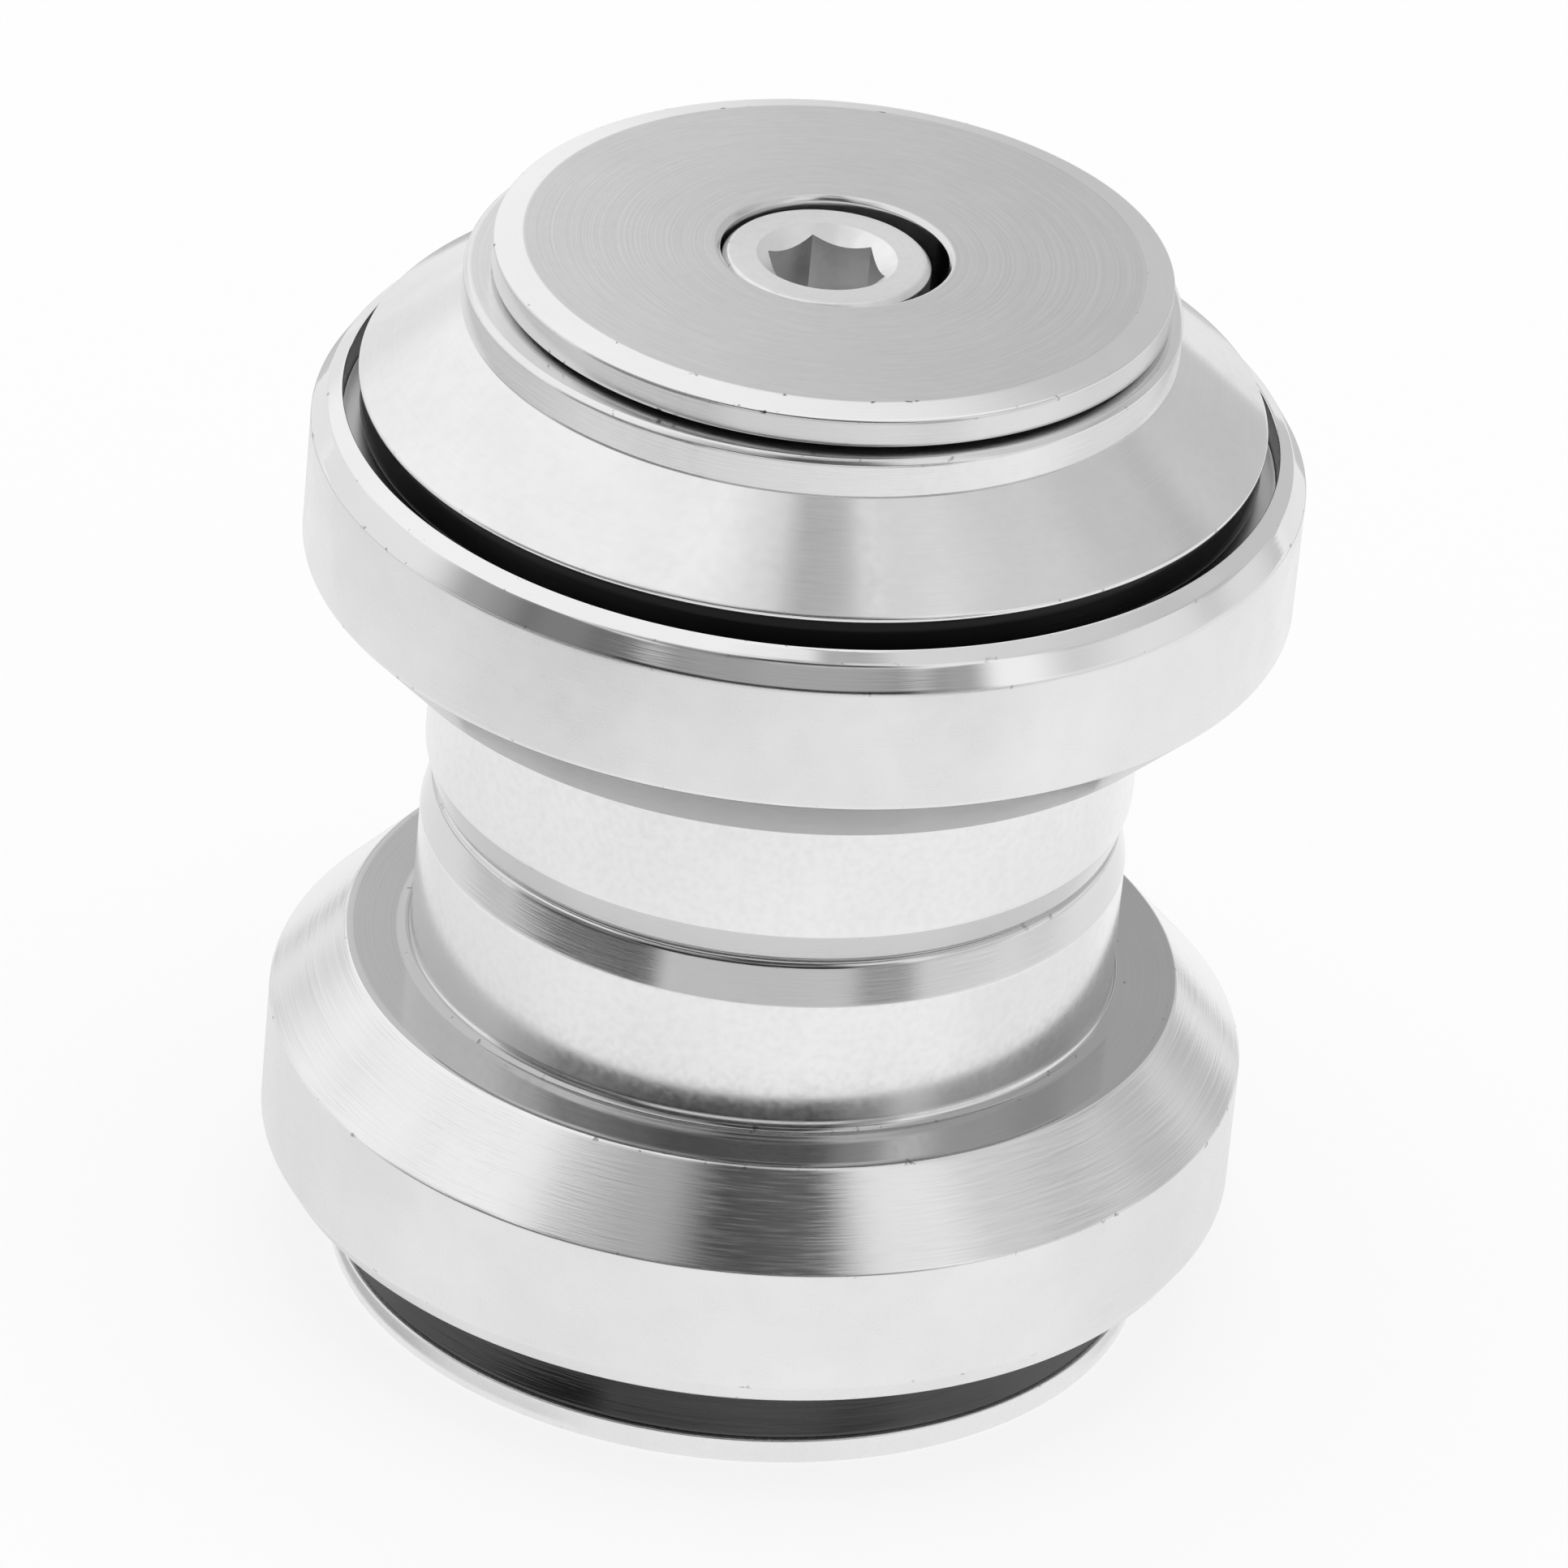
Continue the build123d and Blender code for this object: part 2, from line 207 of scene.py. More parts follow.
def turned_metal(
    name, grey, roughness, lines, speckle,
    grain=0.5, nicks=0.0, bloom=0.04, spots=1.6, axis_x=0.0,
):
    """Turned metal: fine rings from the tool, a satin speckle, and small nicks along the edges."""
    material = bpy.data.materials.new(name)
    material.use_nodes = True
    nodes = material.node_tree.nodes
    surface = nodes["Principled BSDF"]
    surface.inputs["Metallic"].default_value = 1.0
    surface.inputs["Anisotropic"].default_value = grain
    surface.inputs["Anisotropic Rotation"].default_value = 0.25
    tangent = nodes.new("ShaderNodeTangent")
    tangent.direction_type = "RADIAL"
    tangent.axis = "Z"
    link(material, tangent.outputs["Tangent"], surface.inputs["Tangent"])

    rings, place = lathe_coordinates(material, axis_x)
    tool_rings = noise(material, rings, 9.0, 4.0)
    cloud = noise(material, place, 0.16, 3.0)
    dots = noise(material, place, spots, 2.0)

    rough = ramp(material, tool_rings, 0.3, 0.7, roughness - 0.05 * lines, roughness + 0.06 * lines)
    dotted = ramp(material, dots, 0.35, 0.75, -0.05 * speckle, 0.09 * speckle)
    rough = combine(material, "ADD", rough, dotted)
    link(material, rough, surface.inputs["Roughness"])

    tone = ramp(material, cloud, 0.3, 0.7, 1.0 - bloom, 1.0)
    tone = combine(material, "MULTIPLY", tone, ramp(material, dots, 0.4, 0.7, 1.0, 1.0 - 0.06 * speckle))
    lined = ramp(material, tool_rings, 0.3, 0.7, 1.0 - 0.06 * lines, 1.0)
    tone = combine(material, "MULTIPLY", tone, lined)
    if nicks:
        edge = nodes.new("ShaderNodeAttribute")
        edge.attribute_name = "edge"
        chips = ramp(material, noise(material, place, 1.6, 4.0), 0.66, 0.72, 0.0, nicks)
        worn = combine(material, "MULTIPLY", edge.outputs["Fac"], chips)
        tone = combine(material, "MULTIPLY", tone, combine(material, "SUBTRACT", 1.0, worn))
    shade = nodes.new("ShaderNodeMix")
    shade.data_type = "RGBA"
    shade.blend_type = "MULTIPLY"
    shade.inputs["Factor"].default_value = 1.0
    shade.inputs["A"].default_value = (grey, grey, grey, 1)
    link(material, tone, shade.inputs["B"])
    link(material, shade.outputs["Result"], surface.inputs["Base Color"])

    relief = combine(material, "MULTIPLY", tool_rings, lines)
    relief = combine(material, "ADD", relief, combine(material, "MULTIPLY", dots, 0.2 * speckle))
    bump = nodes.new("ShaderNodeBump")
    bump.inputs["Strength"].default_value = 0.12
    bump.inputs["Distance"].default_value = 0.00004
    link(material, relief, bump.inputs["Height"])
    link(material, bump.outputs["Normal"], surface.inputs["Normal"])
    return material


race_finish = turned_metal("race_aluminium", 0.9, 0.28, lines=0.3, speckle=0.15, nicks=0.4)
crown_race = turned(
    "crown_race_turning",
    [
        (15.0, 0.0, 0.15),
        (19.9, 0.0, 0.12),
        (19.9, 1.29, 0.1),
        (17.0, 1.29, 0.0),
        (17.0, 5.6185, 0.1),
        (15.6, 7.5454, 0.1),
        (15.0, 7.5454, 0.1),
    ],
)
crown_race.data.materials.append(race_finish)
mount(crown_race, "lower_half", "crown_race")

# Crown race seal
# A black ring of hard rubber round the race's hub. It closes the mouth of the lower cup, and its
# face shows the fine rings of the mould.


def moulded_rubber(name, dark, light, gloss, relief):
    """Black rubber with the rings of its mould and a greyish bloom in broad patches."""
    material = bpy.data.materials.new(name)
    material.use_nodes = True
    nodes = material.node_tree.nodes
    surface = nodes["Principled BSDF"]
    surface.inputs["Specular IOR Level"].default_value = gloss
    rings, place = lathe_coordinates(material)
    mould_rings = noise(material, rings, 4.0, 3.0)
    patches = ramp(material, noise(material, place, 0.11, 1.0), 0.35, 0.65, 0.0, 1.0)

    rough = ramp(material, patches, 0.0, 1.0, 0.14, 0.24)
    rough = combine(material, "ADD", rough, ramp(material, mould_rings, 0.35, 0.65, -0.05, 0.05))
    link(material, rough, surface.inputs["Roughness"])

    tint = nodes.new("ShaderNodeMix")
    tint.data_type = "RGBA"
    tint.inputs["A"].default_value = (dark, dark, dark, 1)
    tint.inputs["B"].default_value = (light, light, light, 1)
    bloom = combine(material, "MULTIPLY", patches, ramp(material, mould_rings, 0.35, 0.65, 0.6, 1.0))
    link(material, bloom, tint.inputs["Factor"])
    link(material, tint.outputs["Result"], surface.inputs["Base Color"])

    bump = nodes.new("ShaderNodeBump")
    bump.inputs["Strength"].default_value = relief
    bump.inputs["Distance"].default_value = 0.00005
    link(material, mould_rings, bump.inputs["Height"])
    link(material, bump.outputs["Normal"], surface.inputs["Normal"])
    return material


seal_rubber = moulded_rubber("moulded_rubber", 0.008, 0.04, 0.8, relief=0.2)
crown_seal = turned(
    "crown_race_seal_ring",
    [
        (17.0, 1.29, 0.0),
        (19.7, 1.29, 0.1),
        (18.75, 4.0, 0.0),
        (18.5344, 5.64, 0.25),
        (17.0, 5.64, 0.25),
    ],
)
crown_seal.data.materials.append(seal_rubber)
mount(crown_seal, "lower_half", "crown_race_seal")

# Bearings
# Two cartridge bearings of hard steel, alike and turned over: an outer race in the cup, an inner
# race on the cone, a ring of balls in ground grooves, and a thin rubber seal on the near side.
ground_steel = turned_metal("ground_steel", 0.6, 0.2, lines=0.6, speckle=0.2, grain=0.5)
ball_steel = turned_metal("ball_steel", 0.75, 0.09, lines=0.2, speckle=0.3, grain=0.0)
bearing_depth = 8.05
ball_radius = 1.5875
ball_pitch_radius = 17.8
ball_height = 3.25
ball_count = 14
groove_rounding = 0.59


def bearing(name, ball_body, inner_body, rim, up):
    """A bearing in the cup whose rim is at this height. The cup opens upwards, or down if up is -1."""
    far_face = rim - up * bearing_depth
    races = {
        "outer_race": [
            (19.4, 0.0, 0.15),
            (20.5, 1.1, 0.15),
            (20.5, 6.5, 0.15),
            (19.4475, 6.5, 0.1),
            (19.4475, 2.6504, groove_rounding),
            (17.2236, 0.0, 0.1),
        ],
        "inner_race": [
            (15.1, 0.0, 0.15),
            (16.1525, 0.0, 0.1),
            (16.1525, 3.8496, groove_rounding),
            (18.3764, 6.5, 0.1),
            (16.3, 6.5, 0.1),
            (15.1, 4.8483, 0.1),
        ],
        "seal": [
            (18.6764, 6.4, 0.02),
            (19.4475, 6.4, 0.05),
            (19.4475, 5.8, 0.05),
        ],
    }
    finishes = {"outer_race": ground_steel, "inner_race": ground_steel, "seal": seal_rubber}
    for part, outline in races.items():
        placed = [(radius, far_face + up * height, rounding) for radius, height, rounding in outline]
        ring = turned(f"{name}_{part}_ring", placed)
        ring.data.materials.append(finishes[part])
        mount(ring, inner_body if part == "inner_race" else "cups", f"{name}_{part}")

    work = bmesh.new()
    for ball in range(ball_count):
        turn = Matrix.Rotation(2 * pi * ball / ball_count, 4, "Z")
        centre = Vector((ball_pitch_radius, 0, far_face + up * ball_height)) * millimetre
        bmesh.ops.create_icosphere(
            work,
            subdivisions=4,
            radius=ball_radius * millimetre,
            matrix=turn @ Matrix.Translation(centre),
        )
    balls = settle(f"{name}_ball_set", work)
    balls.data.materials.append(ball_steel)
    mount(balls, ball_body, f"{name}_balls")


lower_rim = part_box("lower_cup")[0].z / millimetre
upper_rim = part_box("upper_cup")[1].z / millimetre
bearing("lower_bearing", "lower_ball_ring", "lower_half", lower_rim, -1)
bearing("upper_bearing", "upper_ball_ring", "upper_half", upper_rim, 1)

# Cups
# Two aluminium turnings, the lower one upside down and a little taller: an insert for the head tube,
# a flat shoulder, a flare, a plain wall and a bevelled rim round the bearing's pocket.
satin_wall = turned_metal(
    "satin_aluminium", 0.87, 0.26, lines=0.3, speckle=0.2, nicks=0.5, bloom=0.06, spots=0.6
)
brushed_flare = turned_metal("brushed_aluminium", 0.92, 0.15, lines=1.4, speckle=0.1, grain=0.3, nicks=0.6)
# The upper cup's flare faces down, and its darker grey is painted shade; the lower flare keeps the bright
# grey.
painted_shade_flare = turned_metal("turned_aluminium", 0.5, 0.2, lines=0.8, speckle=0.1, grain=0.3)
polished_rim = turned_metal("polished_aluminium", 0.88, 0.08, lines=0.2, speckle=0.0, grain=0.2, nicks=0.5)
speckled_insert = turned_metal("blasted_aluminium", 0.87, 0.2, lines=0.1, speckle=0.5, grain=0.2, spots=2.4)
polished_lead = turned_metal("lead_aluminium", 0.74, 0.12, lines=0.5, speckle=0.1, grain=0.3, nicks=0.3)
# The upper cup's lead faces down and takes a darker copy of the lead's grey as painted shade.
painted_shade_lead = turned_metal("painted_shade_lead", 0.66, 0.14, lines=0.5, speckle=0.1, grain=0.3, nicks=0.3)
# The shoulders' dark grey is painted shade for the corner at the insert's foot.
shoulder_painted_shade = turned_metal("shoulder_painted_shade", 0.53, 0.08, lines=0.5, speckle=0.1, nicks=0.5)
# The pocket's and the bores' near-black grey is painted shade for the recesses.
pocket_painted_shade = turned_metal("pocket_painted_shade", 0.3, 0.36, lines=0.6, speckle=0.2, grain=0.0)
satin_lip = turned_metal("satin_lip", 0.8, 0.42, lines=0.2, speckle=0.1, grain=0.0)
insert_length = 9.05
rim_depth = 1.55
rim_inside = 20.6
wall_inside = 23.6
insert_outside = 17.2
shoulder_outside = 20.1


def cup(name, node, rim_height, up, tall, flare_tall, lead_tall, finishes):
    """A cup with its rim at a height, and its shoulder below it, or above it if up is -1."""
    shoulder = rim_height - up * tall
    lead_level = lead_tall - insert_length
    ledge_level = tall - rim_depth
    profile = [
        (15.4, -insert_length, 0.08),
        (16.58, -insert_length, 0.28),
        (17.05, lead_level, 0.1),
        (17.05, 0.0, 0.6),
        (20.1, 0.0, 0.2),
        (23.65, flare_tall, 0.06),
        (23.65, tall - 1.62, 0.06),
        (22.95, tall - 0.5, 0.06),
        (22.22, tall, 0.1),
        (22.22, ledge_level, 0.08),
        (20.54, ledge_level, 0.08),
        (20.54, tall - 6.95, 0.0),
        (19.04, tall - 8.45, 0.0),
        (15.4, tall - 8.45, 0.1),
    ]
    placed = [(radius, shoulder + up * height, rounding) for radius, height, rounding in profile]
    piece = turned(name, placed)
    for material in finishes:
        piece.data.materials.append(material)
    # Faces turned to the axis or to the pocket's mouth get the pocket's painted shade, and the shoulder
    # gets its own.
    for face in piece.data.polygons:
        radius = hypot(face.center.x, face.center.y) / millimetre
        level = up * (face.center.z / millimetre - shoulder)
        outwards = Vector((face.center.x, face.center.y, 0))
        faces_axis = face.normal.dot(outwards) < -0.8 * radius * millimetre
        faces_mouth = up * face.normal.z > 0.9 and 2 < level < ledge_level + 0.3
        if rim_inside < radius < wall_inside and level > ledge_level - 0.1:
            face.material_index = 7 if faces_axis or faces_mouth else 2
        elif faces_axis or faces_mouth:
            face.material_index = 6
        elif level < lead_level:
            face.material_index = 4
        elif radius < insert_outside and level < 0:
            face.material_index = 3
        elif radius < shoulder_outside and level < 0.3:
            face.material_index = 5
        elif radius < wall_inside:
            face.material_index = 1
    mount(piece, "cups", node)


# The shoulder's and the pocket's materials hold painted shade, and so do the upper cup's flare and lead.
inner_finishes_and_shades = [shoulder_painted_shade, pocket_painted_shade, satin_lip]
lower_finishes_and_shades = [satin_wall, brushed_flare, satin_wall, speckled_insert, polished_lead] + inner_finishes_and_shades
upper_finishes_and_shades = [satin_wall, painted_shade_flare, polished_rim, speckled_insert, painted_shade_lead] + inner_finishes_and_shades
cup("lower_cup_turning", "lower_cup", lower_rim, -1, 11.8, 3.9, 2.2, lower_finishes_and_shades)
cup("upper_cup_turning", "upper_cup", upper_rim, 1, 11.25, 3.55, 1.7, upper_finishes_and_shades)

# Compression ring
# A split double cone of aluminium between the upper bearing and the cover. When the cover presses
# down it closes on the steerer, and its slit faces the back.
ring_slit = 1.2
ring_outline = [
    (14.35, 42.7723, 0.08),
    (14.85, 42.7723, 0.08),
    (17.2, 46.0068, 0.08),
    (14.85, 48.3568, 0.08),
    (14.35, 48.3568, 0.08),
]
ring_work = bmesh.new()
section_of(ring_work, ring_outline, 0.0)
slit_angle = ring_slit / ring_outline[2][0]
slit_turn = Matrix.Rotation(pi / 2 + slit_angle / 2, 3, "Z")
bmesh.ops.rotate(ring_work, verts=ring_work.verts[:], cent=(0, 0, 0), matrix=slit_turn)
ring_start = ring_work.verts[:]
ring_sweep = bmesh.ops.spin(
    ring_work,
    geom=ring_work.verts[:] + ring_work.edges[:],
    cent=(0, 0, 0),
    axis=(0, 0, 1),
    angle=2 * pi - slit_angle,
    steps=turning_steps,
    use_duplicate=False,
)
ring_end = [part for part in ring_sweep["geom_last"] if isinstance(part, bmesh.types.BMVert)]
for side, vertices in ((-1, ring_start), (1, ring_end)):
    for vertex in vertices:
        radius = hypot(vertex.co.x, vertex.co.y)
        vertex.co.x = side * ring_slit / 2 * millimetre
        vertex.co.y = sqrt(radius**2 - vertex.co.x**2)
bmesh.ops.holes_fill(ring_work, edges=[edge for edge in ring_work.edges if edge.is_boundary])
bmesh.ops.recalc_face_normals(ring_work, faces=ring_work.faces[:])
compression_ring = settle("compression_ring_split", ring_work)
# The ring shares the upper flare's darker grey, which is painted shade.
compression_ring.data.materials.append(painted_shade_flare)
mount(compression_ring, "upper_half", "compression_ring")

# Bearing cover
# A polished aluminium cone with a short collar, turned in one piece. It is hollowed underneath, and
# the top cap presses it down on the split ring.
collar_foot = 51.18
polished_cone = turned_metal(
    "polished_cone", 0.89, 0.14, lines=0.4, speckle=0.3, grain=0.3, nicks=0.4, bloom=0.07
)
satin_collar = turned_metal("satin_collar", 0.85, 0.16, lines=0.6, speckle=0.2, grain=0.0, nicks=0.4)
bearing_cover = turned(
    "bearing_cover_turning",
    [
        (14.4, 53.15, 0.1),
        (16.78, 53.15, 0.04),
        (17.0, 52.93, 0.04),
        (17.0, 51.36, 0.0),
        (16.88, 51.32, 0.0),
        (16.88, 51.22, 0.0),
        (17.0, collar_foot, 0.0),
        (21.56, 47.42, 0.06),
        (21.56, 47.22, 0.05),
        (20.4, 47.22, 0.0),
        (20.4, 46.22, 0.05),
        (17.0434, 46.22, 0.05),
        (14.4, 48.8634, 0.05),
    ],
)
bearing_cover.data.materials.append(polished_cone)
bearing_cover.data.materials.append(satin_collar)
for face in bearing_cover.data.polygons:
    face.material_index = int(face.center.z > collar_foot * millimetre)
mount(bearing_cover, "upper_half", "bearing_cover")

# Bearing cover seal
# A moulded ring of matt black rubber, fitted in a step under the cover's edge. It shows as the dark
# gap above the upper cup.
cover_seal = turned(
    "bearing_cover_seal_ring",
    [
        (20.4, 45.37, 0.1),
        (21.4, 45.37, 0.2),
        (21.4, 47.22, 0.1),
        (20.4, 47.22, 0.0),
    ],
)
cover_seal.data.materials.append(moulded_rubber("matt_rubber", 0.006, 0.014, 0.15, relief=0.02))
mount(cover_seal, "upper_half", "bearing_cover_seal")

# Star nut
# A threaded steel sleeve with two stars of spring steel, driven into the steerer. The bolt pulls on
# it to load the bearings.
spring_steel = turned_metal("zinc_plated_steel", 0.55, 0.32, lines=0.2, speckle=0.8, grain=0.0)
star_sleeve = turned(
    "star_nut_sleeve",
    [
        (3.05, 20.04, 0.25),
        (4.5, 20.04, 0.2),
        (4.5, 33.04, 0.2),
        (3.05, 33.04, 0.25),
    ],
)
star_sleeve.data.materials.append(spring_steel)
mount(star_sleeve, "star_nut", "star_nut_barrel")
for star in ("star_nut_upper_star", "star_nut_lower_star"):
    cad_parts[star].data.materials.clear()
    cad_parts[star].data.materials.append(spring_steel)

# Top cap
# A turned disc that closes the steerer. Its spigot has play in the cover, so it rests a little to
# one side, and the bolt's head lies in its counterbore.
cap_offset = 0.35
bevel_inside = 14.7
bevel_foot = 54.75
faced_cap = turned_metal(
    "faced_aluminium", 0.79, 0.12, lines=1.0, speckle=0.3, grain=0.4, axis_x=cap_offset
)
cap_bevel = turned_metal(
    "cap_bevel_aluminium", 0.88, 0.13, lines=0.4, speckle=0.1, nicks=0.9, axis_x=cap_offset
)
cap_edge = turned_metal(
    "cap_edge_aluminium", 0.8, 0.2, lines=0.4, speckle=0.1, nicks=0.9, axis_x=cap_offset
)
top_cap = turned(
    "top_cap_turning",
    [
        (3.4, 48.74, 0.05),
        (5.4, 48.74, 0.05),
        (5.4, 54.89, 0.03),
        (5.6, 55.09, 0.03),
        (14.72, 55.09, 0.05),
        (16.07, 54.76, 0.08),
        (16.07, 53.44, 0.06),
        (15.27, 53.15, 0.0),
        (13.9, 53.15, 0.0),
        (13.9, 51.65, 0.1),
        (7.5, 51.65, 0.1),
        (7.5, 46.94, 0.1),
        (3.4, 46.94, 0.1),
    ],
    axis_x=cap_offset,
)
top_cap.data.materials.append(faced_cap)
top_cap.data.materials.append(cap_bevel)
top_cap.data.materials.append(cap_edge)
for face in top_cap.data.polygons:
    radius = hypot(face.center.x / millimetre - cap_offset, face.center.y / millimetre)
    if radius > bevel_inside:
        face.material_index = 1 if face.center.z > bevel_foot * millimetre else 2
mount(top_cap, "upper_half", "top_cap")

# Top cap bolt
# A plated steel socket head screw. A five millimetre hexagon is broached in its head below a
# countersunk lead, and its thread runs down into the star nut.
plated_steel = turned_metal("plated_steel", 0.9, 0.34, lines=0.5, speckle=0.7, grain=0.3, nicks=0.4)
socket_steel = turned_metal("socket_steel", 0.74, 0.22, lines=0.2, speckle=0.4, grain=0.0)
lead_steel = turned_metal("lead_steel", 0.95, 0.45, lines=0.2, speckle=0.5, grain=0.0)
head_top = 54.74
head_seat = 48.74
bolt_tip = 18.74
hexagon_width = 5.0
hexagon_depth = 3.0
hexagon_corner = radians(45.5)
lead_radius = hexagon_width / sqrt(3) + 0.45
lead_slope = 1 / tan(radians(50))
thread_core = 2.45
thread_crest = 2.98
thread_pitch = 1.0
thread_steps = 40

bolt_work = bmesh.new()
section_of(
    bolt_work,
    [
        (lead_radius, head_top, 0.0),
        (4.7, head_top, 0.05),
        (4.95, head_top - 0.25, 0.05),
        (4.95, head_seat, 0.1),
        (3.0, head_seat, 0.0),
        (thread_core, head_seat - 0.5, 0.0),
        (thread_core, bolt_tip, 0.2),
        (1.0, bolt_tip, 0.0),
    ],
    0.0,
)
axis_edge = max(bolt_work.edges, key=lambda edge: edge.calc_length())
bmesh.ops.delete(bolt_work, geom=[axis_edge], context="EDGES")
corner_turn = Matrix.Rotation(hexagon_corner, 3, "Z")
bmesh.ops.rotate(bolt_work, verts=bolt_work.verts[:], cent=(0, 0, 0), matrix=corner_turn)
bmesh.ops.spin(
    bolt_work,
    geom=bolt_work.verts[:] + bolt_work.edges[:],
    cent=(0, 0, 0),
    axis=(0, 0, 1),
    angle=2 * pi,
    steps=turning_steps,
    use_merge=True,
    use_duplicate=False,
)
open_edges = [edge for edge in bolt_work.edges if edge.is_boundary]
mouth = [edge for edge in open_edges if edge.verts[0].co.z > head_seat * millimetre]
bmesh.ops.holes_fill(bolt_work, edges=[edge for edge in open_edges if edge not in mouth])
for finish, stretch in ((2, "lead"), (1, "wall")):
    sunk = bmesh.ops.extrude_edge_only(bolt_work, edges=mouth)
    for part in sunk["geom"]:
        if isinstance(part, bmesh.types.BMFace):
            part.material_index = finish
    mouth = [part for part in sunk["geom"] if isinstance(part, bmesh.types.BMEdge) and part.is_boundary]
    for vertex in {vertex for edge in mouth for vertex in edge.verts}:
        angle = atan2(vertex.co.y, vertex.co.x)
        reach = hexagon_width / 2 / cos((angle - hexagon_corner) % (pi / 3) - pi / 6)
        depth = lead_slope * (lead_radius - reach) if stretch == "lead" else hexagon_depth
        vertex.co = Vector((reach * cos(angle), reach * sin(angle), head_top - depth)) * millimetre
socket_floor = bmesh.ops.holes_fill(bolt_work, edges=mouth)
for face in socket_floor["faces"]:
    face.material_index = 1
bmesh.ops.recalc_face_normals(bolt_work, faces=bolt_work.faces[:])

thread_work = bmesh.new()
thread_foot = bolt_tip + 0.5
thread_turns = int((head_seat - 1.5 - thread_foot) / thread_pitch)
ridge = [(thread_core - 0.05, 0.0), (thread_crest, 0.4), (thread_crest, 0.5), (thread_core - 0.05, 0.9)]
ridge_start = [
    thread_work.verts.new(Vector((radius, 0, thread_foot + height)) * millimetre)
    for radius, height in ridge
]
for first, second in zip(ridge_start, ridge_start[1:] + ridge_start[:1]):
    thread_work.edges.new((first, second))
bmesh.ops.spin(
    thread_work,
    geom=thread_work.verts[:] + thread_work.edges[:],
    cent=(0, 0, 0),
    axis=(0, 0, 1),
    dvec=(0, 0, thread_pitch / thread_steps * millimetre),
    angle=2 * pi * thread_turns,
    steps=thread_steps * thread_turns,
    use_duplicate=False,
)
bmesh.ops.holes_fill(thread_work, edges=[edge for edge in thread_work.edges if edge.is_boundary])
bmesh.ops.recalc_face_normals(thread_work, faces=thread_work.faces[:])
thread_mesh = bpy.data.meshes.new("thread")
thread_work.to_mesh(thread_mesh)
thread_work.free()
bolt_work.from_mesh(thread_mesh)
bpy.data.meshes.remove(thread_mesh)
bolt = settle("top_cap_bolt_screw", bolt_work)
for material in (plated_steel, socket_steel, lead_steel):
    bolt.data.materials.append(material)
mount(bolt, "bolt", "top_cap_bolt")

# Camera and light
# A long lens looks down on the headset, a little rolled. A white tent lights it evenly. Grey patches
# on the tent, low cards and a shade over the floor are seen by the metal alone and give it its bands,
# and a white floor keeps a faint shadow.
camera_target = Vector((0, 0, 0.026))
camera_distance = 0.60925
camera_elevation = radians(30.088)
camera_pan = radians(-0.032)
camera_roll = radians(-5.443)
photo_width = 1932
focal_pixels = 15608
tent_radius = 0.8
card_radius = 0.17
shade_height = 0.0003
floor_radius = 3.0
floor_white = 0.95
floor_glow_share = 0.8
forward = Vector((0, cos(camera_elevation), -sin(camera_elevation)))
right = Vector((1, 0, 0))
pan = Matrix.Rotation(camera_pan, 3, right.cross(forward))
place = camera_target - camera_distance * forward
forward = pan @ forward
right = Matrix.Rotation(camera_roll, 3, forward) @ (pan @ right)
lens = bpy.data.cameras.new("camera")
lens.sensor_width = 36
lens.lens = focal_pixels / photo_width * lens.sensor_width
camera = bpy.data.objects.new("camera", lens)
camera.matrix_world = Matrix((right, right.cross(forward), -forward)).transposed().to_4x4()
camera.location = place
bpy.context.scene.collection.objects.link(camera)
bpy.context.scene.camera = camera

tent = bpy.data.worlds.new("tent")
tent.use_nodes = True
tent.node_tree.nodes["Background"].inputs["Color"].default_value = (1, 1, 1, 1)
tent.node_tree.nodes["Background"].inputs["Strength"].default_value = 1.0
bpy.context.scene.world = tent


def screen(name, work, shader):
    """A studio surface that only the metal sees. It glows with its tone, or dims what is behind it."""
    mesh = bpy.data.meshes.new(name)
    work.to_mesh(mesh)
    work.free()
    grey = bpy.data.materials.new(name)
    grey.use_nodes = True
    grey.node_tree.nodes.clear()
    output = grey.node_tree.nodes.new("ShaderNodeOutputMaterial")
    cloth = grey.node_tree.nodes.new(shader)
    tone = grey.node_tree.nodes.new("ShaderNodeAttribute")
    tone.attribute_name = "tone"
    link(grey, tone.outputs["Fac"], cloth.inputs["Color"])
    link(grey, cloth.outputs[0], output.inputs["Surface"])
    mesh.materials.append(grey)
    hung = bpy.data.objects.new(name, mesh)
    for ray in ("camera", "diffuse", "transmission", "volume_scatter", "shadow"):
        setattr(hung, "visible_" + ray, False)
    bpy.context.scene.collection.objects.link(hung)


def outward(azimuth, elevation):
    """A direction from the headset. Azimuth 0 is the camera's side, and right is positive."""
    turn, rise = radians(azimuth), radians(elevation)
    return Vector((sin(turn) * cos(rise), -cos(turn) * cos(rise), sin(rise)))


def within(value, low, high, feather):
    """1 between two bounds and 0 outside them, with a soft change that is centred on each bound."""
    share = min(1.0, max(0.0, ((high - low) / 2 - abs(value - (low + high) / 2)) / feather + 0.5))
    return share * share * (3 - 2 * share)


